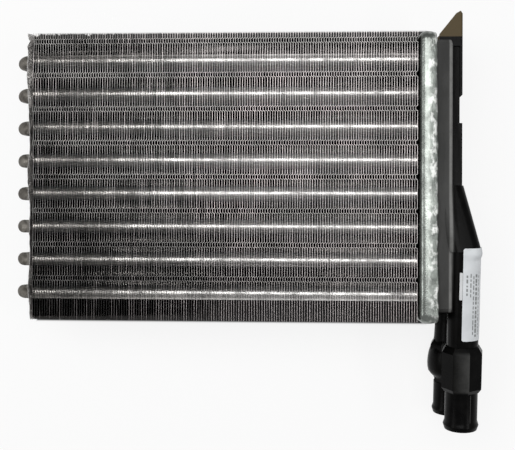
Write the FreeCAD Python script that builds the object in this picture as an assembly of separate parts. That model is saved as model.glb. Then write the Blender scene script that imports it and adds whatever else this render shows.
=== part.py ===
import FreeCAD, Part
import math
import os

from FreeCAD import Placement, Rotation, Vector

# Heater core with hairpin tubes, a crimped header plate and a moulded end tank.
# Lengths are in millimetres. X runs along the tubes towards the tank, Y runs up
# the core across the tube rows, and Z is the depth, towards the front face.
# While it is being built, zero is on the header plate's core side, in the middle
# of the tube rows. build() then moves the core to where it rests on its back.

# Tubes
TUBE_DIAMETER = 7.2
TUBE_ROWS = 8
ROW_PITCH = 18.5
LEG_PITCH = 15.0
BEND_REACH = 12.2
BEND_STEPS = 4
TUBE_STAND_IN_TANK = 1.8

# Fins
CORE_LENGTH = 212.5
FIN_MARGIN_TOP = 13.2
FIN_MARGIN_FOOT = 14.1
FIN_MARGIN_FACE = 13.5
FIN_THICKNESS = 0.2
FIN_PITCH = 1.36
FINS_PER_MODELLED_FIN = 3
FIN_BANKS = 8
FIN_CLEARANCE = 0.02
FIN_TO_HEADER_GAP = 0.5
END_FIN_GAP = 2.5
END_FIN_THICKNESS = 0.25
END_FIN_BEND_GAP = 0.2

# Wave of the end fin: sideways bends at even steps from the top of the core to its foot
END_FIN_BENDS = (-0.5, -1.2, -0.1, 0.5, -0.5, 0.8, 0.7, 0.0, 1.2)

# Header plate
HEADER_MARGIN_TOP = 13.6
HEADER_MARGIN_FOOT = 15.0
HEADER_OVERHANG = 2.3
HEADER_REACH = 11.0
HEADER_SHEET = 1.2
HEADER_BEND_RADIUS = 4.5
HEADER_CORNER_CLIP = 4.0
CRIMP_LIP = 3.0
CRIMP_RADIUS = 1.0
HEADER_HOLE_CLEARANCE = 0.03

# Gasket
GASKET_THICKNESS = 2.0
GASKET_RIM = 4.2
GASKET_BAR = 3.0
GASKET_EDGE_GAP = 0.1

# End tank
TANK_WALL = 2.2
TANK_MARGIN = 9.25
TANK_TO_LIP_GAP = 0.8
TANK_RISE = 7.5
TANK_CORNER_CLIP = 2.5
TANK_EDGE_RADIUS = 1.5
PARTITION_WALL = 2.0
FOOT_GAP = 0.3
FOOT_CHAMFER = 1.2
SPINE_DEPTH = 18.0
SPINE_RISE = 5.2

# Outer plate, its pad and its gussets
PLATE_THICKNESS = 1.5
PLATE_OVERHANG = 1.5
PLATE_RISE = 17.0
PLATE_LENGTH = 47.0
PLATE_EDGE_CHAMFER = 1.2
PAD_GAP = 14.3
GUSSET_WALL = 2.0
GUSSET_TO_HEADER_GAP = 1.6
GUSSET_FOOT_RISE = 4.6
GUSSET_SHOULDER = 2.2
GUSSET_SHOULDER_DROP = 1.3

# Ducts and hose spigots
DUCT_PITCH = 32.0
DUCT_STANDOFF = 6.95
REAR_DUCT_SETBACK = 1.85
REAR_SPIGOT_SHORTFALL = 3.0
DUCT_RISE = 34.6
DUCT_TILT = 7.0
DUCT_RADIUS = 8.5
DUCT_BORE_RADIUS = 6.3
DUCT_LENGTH = 53.1
FLARE_HEIGHT = 34.5
FLARE_TOP_DEPTH = 14.5
FLARE_TOP_OFFSET = 10.75
FLARE_ROOT = 9.5
FLARE_OVERLAP = 1.5
FLARE_LEDGE = 0.4
FLARE_EDGE_RADIUS = 5.5
COLLAR_HALF_WIDTH = 10.7
COLLAR_SIDES = 8
COLLAR_TURN = -11.5
COLLAR_LEDGE = 0.3
COLLAR_SHOULDER = 3.3
COLLAR_LENGTH = 19.7
COLLAR_CHAMFER = 2.2
SPIGOT_RADIUS = 8.9
SPIGOT_LENGTH = 21.5
BEAD_HEIGHT = 0.8
BEAD_LENGTH = 5.0
BOSS_RADIUS = 12.4
BOSS_FLAT = 5.0
BOSS_UPPER_TAPER = 8.0
BOSS_LOWER_TAPER = 5.0
SADDLE_WALL = 3.0
SADDLE_LENGTH = 50.0

# Paper label and tag on the front duct, their angles counted from the front towards +X
PAPER_THICKNESS = 0.15
PAPER_SEAT_GAP = 0.02
LABEL_TO_FLARE_GAP = 0.5
LABEL_TO_COLLAR_GAP = 3.5
LABEL_FIRST_ANGLE = -12.0
LABEL_LAST_ANGLE = 62.0
TAG_START = 9.5
TAG_LENGTH = 17.0
TAG_ANGLE = 11.0
TAG_GAP_ANGLE = 1.0

# Places that follow from the sizes above
TUBE_RADIUS = TUBE_DIAMETER / 2
ROWS_TOP = ROW_PITCH * (TUBE_ROWS - 1) / 2
ROW_HEIGHTS = [ROWS_TOP - ROW_PITCH * row for row in range(TUBE_ROWS)]
LEG_DEPTHS = (LEG_PITCH / 2, -LEG_PITCH / 2)
BEND_RADIUS = LEG_PITCH / 2
BEND_MIDDLE = -CORE_LENGTH - BEND_REACH + TUBE_RADIUS + BEND_RADIUS
CORE_TOP = ROWS_TOP + FIN_MARGIN_TOP
CORE_FOOT = -ROWS_TOP - FIN_MARGIN_FOOT
CORE_FACE = LEG_PITCH / 2 + FIN_MARGIN_FACE
HEADER_TOP = ROWS_TOP + HEADER_MARGIN_TOP
HEADER_FOOT = -ROWS_TOP - HEADER_MARGIN_FOOT
HEADER_FACE = CORE_FACE + HEADER_OVERHANG
GASKET_TOP = HEADER_SHEET + GASKET_THICKNESS
TANK_TOP = ROWS_TOP + TANK_MARGIN
TANK_FACE = HEADER_FACE - CRIMP_LIP - TANK_TO_LIP_GAP
TANK_REACH = HEADER_REACH + TANK_RISE
SPINE_REACH = TANK_REACH + SPINE_RISE
PLATE_REACH = SPINE_REACH + PLATE_THICKNESS
PLATE_TOP = TANK_TOP + PLATE_RISE
PLATE_FOOT = PLATE_TOP - PLATE_LENGTH
PLATE_FACE = SPINE_DEPTH / 2 + PLATE_OVERHANG
DUCT_REACH = TANK_REACH + DUCT_STANDOFF
DUCT_START = -TANK_TOP + DUCT_RISE
FLARE_TOP = DUCT_START + FLARE_HEIGHT
LABEL_START = FLARE_OVERLAP + LABEL_TO_FLARE_GAP
LABEL_LENGTH = DUCT_LENGTH - LABEL_TO_COLLAR_GAP - LABEL_START
COLLAR_START = DUCT_LENGTH + COLLAR_SHOULDER
COLLAR_END = COLLAR_START + COLLAR_LENGTH
SPIGOT_START = COLLAR_END + COLLAR_CHAMFER
SPIGOT_END = SPIGOT_START + SPIGOT_LENGTH
DUCT_REACHES = {1: DUCT_REACH, -1: DUCT_REACH - REAR_DUCT_SETBACK}
SPIGOT_ENDS = {1: SPIGOT_END, -1: SPIGOT_END - REAR_SPIGOT_SHORTFALL}

# How much less a 45 degree corner is clipped when its two sides move in by 1 mm
CLIP_SHRINK = 2 - math.sqrt(2)

# How far cutting tools run past the faces that they cut
OVERRUN = 0.5


def box(x_range, y_range, z_range):
    """Block between two limits along each axis."""
    sizes = [limits[1] - limits[0] for limits in (x_range, y_range, z_range)]
    return Part.makeBox(*sizes, Vector(x_range[0], y_range[0], z_range[0]))


def mirrored_range(half):
    """Limits at equal distances from zero."""
    return (-half, half)


def clipped_block(x_range, y_range, half_depth, clip):
    """Block whose four corners, seen along X, are cut off at 45 degrees."""
    block = box(x_range, y_range, mirrored_range(half_depth))
    corners = [edge for edge in block.Edges if abs(edge.tangentAt(edge.FirstParameter).x) > 0.9]
    return block.makeChamfer(clip, corners)


def header_block(x_range, inset):
    """Block with the header plate's outline, moved in by a distance on every side."""
    y_range = (HEADER_FOOT + inset, HEADER_TOP - inset)
    clip = HEADER_CORNER_CLIP - inset * CLIP_SHRINK
    return clipped_block(x_range, y_range, HEADER_FACE - inset, clip)


def edges_at_x(shape, position):
    """Edges that lie wholly in the plane at one X position."""
    found = []
    for edge in shape.Edges:
        bounds = edge.BoundBox
        if abs(bounds.XMin - position) < 1e-4 and abs(bounds.XMax - position) < 1e-4:
            found.append(edge)
    return found


def polygon_face(points):
    """Flat face with straight edges."""
    return Part.Face(Part.makePolygon(points + points[:1]))


def stacked_solid(rings):
    """Solid through polygons that lie one above another, with flat sides between them."""
    faces = [polygon_face(rings[0]), polygon_face(rings[-1])]
    for low, top in zip(rings, rings[1:]):
        for corner in range(len(low)):
            after = (corner + 1) % len(low)
            faces.append(polygon_face([low[corner], low[after], top[after], top[corner]]))
    solid = Part.Solid(Part.Shell(faces))
    if solid.Volume < 0:
        solid.reverse()
    return solid


# Hairpin tubes


def hairpin_tube(height):
    """One tube: two straight legs, joined past the end fin by a half-circle bend."""
    bend_middle = Vector(BEND_MIDDLE, height, 0)
    leg_end = GASKET_TOP + TUBE_STAND_IN_TANK
    sections = []
    for step in range(BEND_STEPS + 1):
        circle = Part.Circle(bend_middle + Vector(0, 0, BEND_RADIUS), Vector(1, 0, 0), TUBE_RADIUS)
        section = Part.Wire(Part.Edge(circle))
        section.rotate(bend_middle, Vector(0, 1, 0), -180 * step / BEND_STEPS)
        sections.append(section)
    bend = Part.makeLoft(sections, True, True)
    legs = []
    for depth in LEG_DEPTHS:
        start = Vector(BEND_MIDDLE, height, depth)
        legs.append(Part.makeCylinder(TUBE_RADIUS, leg_end - BEND_MIDDLE, start, Vector(1, 0, 0)))
    return bend.fuse(legs)


# Fins


def leg_windows(x_range, inner_gap):
    """Bars with the outline of the two windows, one along each column of tube legs."""
    snug = TUBE_RADIUS + FIN_CLEARANCE
    rows = (ROW_HEIGHTS[-1] - snug, ROW_HEIGHTS[0] + snug)
    inner = BEND_RADIUS - TUBE_RADIUS - inner_gap
    outer = BEND_RADIUS + snug
    return [box(x_range, rows, (inner, outer)), box(x_range, rows, (-outer, -inner))]


def flat_fin(x_start):
    """One flat fin whose windows sit snugly on the tube legs."""
    x_end = x_start + FIN_THICKNESS
    plate = box((x_start, x_end), (CORE_FOOT, CORE_TOP), mirrored_range(CORE_FACE))
    return plate.cut(leg_windows((x_start - OVERRUN, x_end + OVERRUN), FIN_CLEARANCE))


def fin_banks():
    """Every third flat fin from the end fin to the header plate, in banks side by side."""
    first = -CORE_LENGTH + END_FIN_GAP
    last = -FIN_TO_HEADER_GAP - FIN_THICKNESS
    spaces = round((last - first) / (FIN_PITCH * FINS_PER_MODELLED_FIN))
    places = [first + (last - first) * index / spaces for index in range(spaces + 1)]
    banks = []
    for bank in range(FIN_BANKS):
        start = bank * len(places) // FIN_BANKS
        end = (bank + 1) * len(places) // FIN_BANKS
        banks.append(Part.makeCompound([flat_fin(place) for place in places[start:end]]))
    return banks


def end_fin():
    """Outermost fin: the same plate, standing further out and bent in a gentle wave."""
    step = (CORE_TOP - CORE_FOOT) / (len(END_FIN_BENDS) - 1)
    outer_side = []
    for index, bend in enumerate(END_FIN_BENDS):
        outer_side.append(Vector(-CORE_LENGTH + bend, CORE_TOP - step * index, -CORE_FACE))
    inner_side = [point + Vector(END_FIN_THICKNESS, 0, 0) for point in reversed(outer_side)]
    sheet = polygon_face(outer_side + inner_side).extrude(Vector(0, 0, 2 * CORE_FACE))
    reach = max(abs(bend) for bend in END_FIN_BENDS) + END_FIN_THICKNESS + OVERRUN
    x_range = (-CORE_LENGTH - reach, -CORE_LENGTH + reach)
    bend_start = max(0, BEND_MIDDLE + CORE_LENGTH - min(END_FIN_BENDS))
    lean = bend_start * math.tan(math.pi / 2 / BEND_STEPS)
    return sheet.cut(leg_windows(x_range, lean + END_FIN_BEND_GAP))


# Header plate and gasket


def header_plate():
    """Pan of folded sheet whose rim stands around the tank's foot and is crimped over it."""
    pan = header_block((0, HEADER_REACH), 0)
    pan = pan.makeFillet(HEADER_BEND_RADIUS, edges_at_x(pan, 0))
    pan = pan.makeFillet(CRIMP_RADIUS, edges_at_x(pan, HEADER_REACH))
    hollow = header_block((HEADER_SHEET, HEADER_REACH - HEADER_SHEET), HEADER_SHEET)
    bevel = (HEADER_BEND_RADIUS - HEADER_SHEET) * CLIP_SHRINK
    hollow = hollow.makeChamfer(bevel, edges_at_x(hollow, HEADER_SHEET))
    mouth = header_block((HEADER_REACH / 2, HEADER_REACH + OVERRUN), CRIMP_LIP)
    holes = []
    for height in ROW_HEIGHTS:
        for depth in LEG_DEPTHS:
            start = Vector(-OVERRUN, height, depth)
            radius = TUBE_RADIUS + HEADER_HOLE_CLEARANCE
            holes.append(Part.makeCylinder(radius, HEADER_SHEET + 2 * OVERRUN, start, Vector(1, 0, 0)))
    return pan.cut([hollow, mouth] + holes)


def tank_gasket():
    """Rubber frame under the tank's foot, with a bar under the tank's partition."""
    floor_inset = HEADER_BEND_RADIUS + GASKET_EDGE_GAP
    bevel = GASKET_THICKNESS - GASKET_EDGE_GAP
    sheet = header_block((HEADER_SHEET, GASKET_TOP), floor_inset - bevel)
    sheet = sheet.makeChamfer(bevel, edges_at_x(sheet, HEADER_SHEET))
    window_inset = floor_inset - bevel + GASKET_RIM
    x_range = (HEADER_SHEET - OVERRUN, GASKET_TOP + OVERRUN)
    y_range = (HEADER_FOOT + window_inset, HEADER_TOP - window_inset)
    outer_depth = HEADER_FACE - window_inset
    inner_depth = GASKET_BAR / 2
    windows = [
        box(x_range, y_range, (inner_depth, outer_depth)),
        box(x_range, y_range, (-outer_depth, -inner_depth)),
    ]
    return sheet.cut(windows)


# End tank


def along_duct(shape, side):
    """Place a shape made along +Z, with its front at +Y, on the front (1) or rear (-1) duct."""
    start = Vector(DUCT_REACHES[side], DUCT_START, side * DUCT_PITCH / 2)
    lean = math.radians(DUCT_TILT)
    direction = Vector(0, -math.cos(lean), -math.sin(lean))
    placed = shape.copy()
    placed.Placement = Placement(start, Rotation(Vector(0, 0, 1), direction)).multiply(shape.Placement)
    return placed


def turned(profile):
    """Solid of revolution about Z from (radius, height) corners."""
    points = [Vector(radius, 0, height) for radius, height in profile]
    return polygon_face(points).revolve(Vector(0, 0, 0), Vector(0, 0, 1), 360)


def duct_and_spigot(side):
    """Outside of one duct with its hose spigot and end bead."""
    spigot_end = SPIGOT_ENDS[side]
    profile = [
        (0, 0),
        (DUCT_RADIUS, 0),
        (DUCT_RADIUS, COLLAR_START),
        (SPIGOT_RADIUS, COLLAR_START),
        (SPIGOT_RADIUS, spigot_end - BEAD_LENGTH),
        (SPIGOT_RADIUS + BEAD_HEIGHT, spigot_end - BEAD_LENGTH / 2),
        (SPIGOT_RADIUS, spigot_end),
        (0, spigot_end),
    ]
    return along_duct(turned(profile), side)


def collar(side):
    """Collar with flat sides and sloping ends, between the duct and its spigot."""
    levels = (
        (DUCT_LENGTH, DUCT_RADIUS + COLLAR_LEDGE),
        (COLLAR_START, COLLAR_HALF_WIDTH),
        (COLLAR_END, COLLAR_HALF_WIDTH),
        (SPIGOT_START, SPIGOT_RADIUS + COLLAR_LEDGE),
    )
    turn = 360 / COLLAR_SIDES
    rings = []
    for height, half_width in levels:
        corner_radius = half_width / math.cos(math.radians(turn / 2))
        angles = [math.radians(COLLAR_TURN + turn * (index + 0.5)) for index in range(COLLAR_SIDES)]
        rings.append([
            Vector(corner_radius * math.sin(angle), corner_radius * math.cos(angle), height)
            for angle in angles
        ])
    return along_duct(stacked_solid(rings), side)


def rear_boss():
    """Barrel-shaped boss around the rear collar."""
    middle = (COLLAR_START + COLLAR_END) / 2
    half_flat = BOSS_FLAT / 2
    profile = [
        (0, middle - half_flat - BOSS_UPPER_TAPER),
        (DUCT_RADIUS, middle - half_flat - BOSS_UPPER_TAPER),
        (BOSS_RADIUS, middle - half_flat),
        (BOSS_RADIUS, middle + half_flat),
        (SPIGOT_RADIUS, middle + half_flat + BOSS_LOWER_TAPER),
        (0, middle + half_flat + BOSS_LOWER_TAPER),
    ]
    return along_duct(turned(profile), -1)


def hopper(side, inset):
    """Tapered hopper from the tank's side to the top of a duct, moved in on every side."""
    low_half = DUCT_RADIUS + FLARE_LEDGE
    duct_reach = DUCT_REACHES[side]
    levels = (
        (DUCT_START - FLARE_OVERLAP, duct_reach - low_half, duct_reach + low_half,
         DUCT_PITCH / 2, low_half),
        (FLARE_TOP - inset, TANK_REACH - FLARE_ROOT, PLATE_REACH,
         FLARE_TOP_OFFSET, FLARE_TOP_DEPTH / 2),
    )
    rings = []
    for height, inner_x, outer_x, offset, half_depth in levels:
        near = side * offset - half_depth + inset
        far = side * offset + half_depth - inset
        rings.append([
            Vector(inner_x + inset, height, near),
            Vector(outer_x - inset, height, near),
            Vector(outer_x - inset, height, far),
            Vector(inner_x + inset, height, far),
        ])
    return stacked_solid(rings)


def flare(side):
    """Outside of a flare: a hopper with round slanted edges."""
    block = hopper(side, 0)
    slanted = [edge for edge in block.Edges if abs(edge.tangentAt(edge.FirstParameter).y) > 0.5]
    return block.makeFillet(FLARE_EDGE_RADIUS, slanted)


def saddle():
    """Flat web that ties the two ducts together."""
    web = box(
        mirrored_range(SADDLE_WALL / 2),
        (-DUCT_PITCH / 2, DUCT_PITCH / 2),
        (0, SADDLE_LENGTH),
    )
    web.translate(Vector(0, -DUCT_PITCH / 2, 0))
    return along_duct(web, 1)


def outer_plate():
    """Upper plate and lower pad that fill the gap in the housing around the tank."""
    plate = box((SPINE_REACH, PLATE_REACH), (PLATE_FOOT, PLATE_TOP), mirrored_range(PLATE_FACE))
    plate = plate.makeChamfer(PLATE_EDGE_CHAMFER, edges_at_x(plate, PLATE_REACH))
    pad_range = (FLARE_TOP - FLARE_HEIGHT / 2, PLATE_FOOT - PAD_GAP)
    pad = box((SPINE_REACH, PLATE_REACH), pad_range, mirrored_range(SPINE_DEPTH / 2))
    return [plate, pad]


def gussets():
    """Two triangular webs that brace the plate's top against the tank's top end."""
    root = TANK_TOP - TANK_WALL
    start = HEADER_REACH + GUSSET_TO_HEADER_GAP
    corners = [
        (start, root),
        (start, TANK_TOP + GUSSET_FOOT_RISE),
        (SPINE_REACH - GUSSET_SHOULDER, PLATE_TOP - GUSSET_SHOULDER_DROP),
        (SPINE_REACH, PLATE_TOP),
        (SPINE_REACH + PLATE_THICKNESS / 2, PLATE_TOP - PLATE_EDGE_CHAMFER),
        (SPINE_REACH + PLATE_THICKNESS / 2, root),
    ]
    webs = []
    for low_face in (PLATE_FACE - GUSSET_WALL, -PLATE_FACE):
        points = [Vector(x, y, low_face) for x, y in corners]
        webs.append(polygon_face(points).extrude(Vector(0, 0, GUSSET_WALL)))
    return webs


def tank_outside():
    """The whole outside of the tank moulding, still solid."""
    foot = header_block((GASKET_TOP, HEADER_REACH - HEADER_SHEET), HEADER_SHEET + FOOT_GAP)
    foot = foot.makeChamfer(FOOT_CHAMFER, edges_at_x(foot, GASKET_TOP))
    trough = clipped_block((GASKET_TOP, TANK_REACH), mirrored_range(TANK_TOP), TANK_FACE, TANK_CORNER_CLIP)
    trough = trough.makeFillet(TANK_EDGE_RADIUS, edges_at_x(trough, TANK_REACH))
    spine = box(
        (TANK_REACH - TANK_WALL, SPINE_REACH),
        (FLARE_TOP - FLARE_HEIGHT / 2, TANK_TOP),
        mirrored_range(SPINE_DEPTH / 2),
    )
    parts = [trough, spine, saddle(), rear_boss()] + outer_plate() + gussets()
    for side in (1, -1):
        parts += [duct_and_spigot(side), collar(side), flare(side)]
    return foot.fuse(parts)


def tank_cavities():
    """Chambers, flares and duct bores of the two halves, which the partition keeps apart."""
    chamber_height = mirrored_range(TANK_TOP - TANK_WALL)
    spine_height = (PLATE_FOOT - PAD_GAP, TANK_TOP - TANK_WALL)
    cavities = []
    for side in (1, -1):
        partition = side * PARTITION_WALL / 2
        chamber_depth = sorted((partition, side * (TANK_FACE - TANK_WALL)))
        spine_depth = sorted((partition, side * (SPINE_DEPTH / 2 - TANK_WALL)))
        bore = Part.makeCylinder(DUCT_BORE_RADIUS, SPIGOT_ENDS[side] + OVERRUN)
        cavities += [
            box((0, TANK_REACH - TANK_WALL), chamber_height, chamber_depth),
            box((TANK_REACH / 2, SPINE_REACH - TANK_WALL), spine_height, spine_depth),
            hopper(side, TANK_WALL),
            along_duct(bore, side),
        ]
    return cavities


def end_tank():
    """The tank moulding with its two separate water ways."""
    return tank_outside().cut(tank_cavities()).removeSplitter()


# Paper label and tag


def paper_patch(start, length, first_angle, last_angle):
    """Thin patch wrapped around the front duct."""
    inner_radius = DUCT_RADIUS + PAPER_SEAT_GAP
    layers = []
    for radius in (inner_radius + PAPER_THICKNESS, inner_radius):
        base = Vector(0, 0, start)
        layers.append(Part.makeCylinder(radius, length, base, Vector(0, 0, 1), last_angle - first_angle))
    patch = layers[0].cut(layers[1])
    patch.rotate(Vector(0, 0, 0), Vector(0, 0, 1), 90 - last_angle)
    return along_duct(patch, 1)


def duct_label():
    """Paper label along the front duct."""
    return paper_patch(LABEL_START, LABEL_LENGTH, LABEL_FIRST_ANGLE, LABEL_LAST_ANGLE)


def small_tag():
    """Second, shorter paper tag beside the label."""
    last_angle = LABEL_FIRST_ANGLE - TAG_GAP_ANGLE
    return paper_patch(TAG_START, TAG_LENGTH, last_angle - TAG_ANGLE, last_angle)


def build():
    """All pieces by name, with zero under the middle of the whole, at its lowest point."""
    pieces = {
        "end_tank": end_tank(),
        "tank_gasket": tank_gasket(),
        "header_plate": header_plate(),
        "end_fin": end_fin(),
        "duct_label": duct_label(),
        "small_tag": small_tag(),
    }
    for row, height in enumerate(ROW_HEIGHTS):
        pieces["hairpin_tube_%d" % (row + 1)] = hairpin_tube(height)
    for index, bank in enumerate(fin_banks()):
        pieces["fin_bank_%d" % (index + 1)] = bank
    bounds = Part.makeCompound(list(pieces.values())).optimalBoundingBox(False, False)
    shift = Vector(-bounds.Center.x, -bounds.Center.y, -bounds.ZMin)
    for shape in pieces.values():
        shape.translate(shift)
    print("moved by", tuple(round(value, 3) for value in shift))
    return pieces


os.makedirs("parts", exist_ok=True)
for name, shape in build().items():
    shape.exportStep("parts/" + name + ".step")
    print(name, "solids", len(shape.Solids), "valid", shape.isValid(), "volume", round(shape.Volume, 1))
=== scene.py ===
import logging
import math
from dataclasses import dataclass, replace
from enum import Enum
from typing import Sequence

import bmesh
import bpy
import numpy as np
from mathutils import Matrix, Vector
from mathutils.geometry import delaunay_2d_cdt


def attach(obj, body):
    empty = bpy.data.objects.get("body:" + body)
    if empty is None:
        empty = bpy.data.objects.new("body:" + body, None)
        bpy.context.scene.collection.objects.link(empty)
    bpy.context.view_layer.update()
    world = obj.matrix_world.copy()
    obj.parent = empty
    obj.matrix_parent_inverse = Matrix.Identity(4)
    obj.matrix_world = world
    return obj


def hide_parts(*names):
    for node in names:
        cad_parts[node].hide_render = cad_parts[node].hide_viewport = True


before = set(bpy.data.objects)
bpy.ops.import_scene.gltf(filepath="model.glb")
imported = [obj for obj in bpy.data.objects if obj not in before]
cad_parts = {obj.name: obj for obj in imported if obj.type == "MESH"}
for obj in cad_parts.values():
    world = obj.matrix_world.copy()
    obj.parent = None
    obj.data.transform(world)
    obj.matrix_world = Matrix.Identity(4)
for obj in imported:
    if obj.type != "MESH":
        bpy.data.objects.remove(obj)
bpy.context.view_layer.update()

LOG = logging.getLogger("heater_core")

# Shapes are worked out in the millimetres of the part's own drawing and moved to the shared frame
DRAWING_TO_FRAME = np.array((93.941, 24.27, 37.12))
METRES = 0.001
BODY = "root"

# Tube rows, legs and core outline
TUBE_RADIUS = 3.6
ROW_HEIGHTS = tuple(64.75 - 18.5 * row for row in range(8))
LEG_DEPTHS = (7.5, -7.5)
CORE_TOP = 77.95
CORE_FOOT = -78.85
CORE_FACE = 21.0

# Numbers that are stored on a mesh's points for its finish to read
TONE_LAYER = "tone"
RUB_LAYER = "rub"
PRINT_LAYER = "print_field"

# Where a sheet's middle lies in a noise field, and the range of most values of a noise texture
FIELD_MIDDLE = 40
NOISE_RANGE = (0.3, 0.7)

Colour = tuple[float, float, float]
Pair = tuple[float, float]
Limits = tuple[float, float]
Socket = bpy.types.NodeSocket
Faces = Sequence[Sequence[int]]
Pieces = list[bpy.types.Object]


class Side(Enum):
    """The two ducts of the end tank, by the sign of their depth."""

    FRONT = 1
    REAR = -1


def placed(points: np.ndarray) -> np.ndarray:
    """Moves drawing points in millimetres to the shared frame in metres.

    Args:
        points: One point a row, in drawing millimetres.

    Returns:
        The same points in metres.
    """
    return (np.asarray(points, dtype=float) + DRAWING_TO_FRAME) * METRES


def along_frame(place: float) -> float:
    """Moves a place along the tubes from drawing millimetres to metres in the shared frame."""
    return (place + DRAWING_TO_FRAME[0]) * METRES


def smooth_step(value: np.ndarray, low: float, high: float) -> np.ndarray:
    """Eases from 0 at low to 1 at high."""
    return eased(np.clip((np.asarray(value, dtype=float) - low) / (high - low), 0, 1))


def eased(share: np.ndarray) -> np.ndarray:
    """Eases shares between 0 and 1, so that they start and end level."""
    return share * share * (3 - 2 * share)


class SmoothNoise:
    """Seeded smooth random field, used for bends, waves and pressed marks."""

    def __init__(self, seed: int, cells: int = 32) -> None:
        """Draws the lattice.

        Args:
            seed: Seed of the random draw.
            cells: Lattice points along each axis before the field repeats.
        """
        self.cells = cells
        self.lattice = np.random.default_rng(seed).uniform(-1, 1, (cells, cells, cells))

    def at(self, x: np.ndarray, y: np.ndarray, z: np.ndarray) -> np.ndarray:
        """Gives the field at lattice places.

        Args:
            x: First coordinates, in lattice steps.
            y: Second coordinates.
            z: Third coordinates.

        Returns:
            Values between -1 and 1.
        """
        places = np.broadcast_arrays(*(np.asarray(value, dtype=float) for value in (x, y, z)))
        low = [np.floor(value).astype(int) for value in places]
        shares = [eased(value - floor) for value, floor in zip(places, low)]
        total = np.zeros(places[0].shape)
        for corner in range(8):
            picks = [(corner >> axis) & 1 for axis in range(3)]
            index = [(floor + pick) % self.cells for floor, pick in zip(low, picks)]
            weight = np.ones(places[0].shape)
            for share, pick in zip(shares, picks):
                weight = weight * (share if pick else 1 - share)
            total = total + weight * self.lattice[index[0], index[1], index[2]]
        return total

    def over(
        self, layer: float, height: np.ndarray, depth: np.ndarray, sizes: Pair
    ) -> np.ndarray:
        """Gives the field over a sheet.

        Args:
            layer: Which layer of the field is used, in lattice steps.
            height: Heights on the sheet.
            depth: Depths on the sheet.
            sizes: Size of a lattice step in height and in depth.

        Returns:
            Values between -1 and 1.
        """
        return self.at(layer, height / sizes[0] + FIELD_MIDDLE, depth / sizes[1] + FIELD_MIDDLE)


@dataclass(frozen=True)
class Grain:
    """One noise texture: repeats a metre, octaves, share that each keeps, stretch by axis."""

    scale: float
    detail: float = 3.0
    keep: float = 0.55
    stretch: tuple[float, ...] = ()


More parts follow.
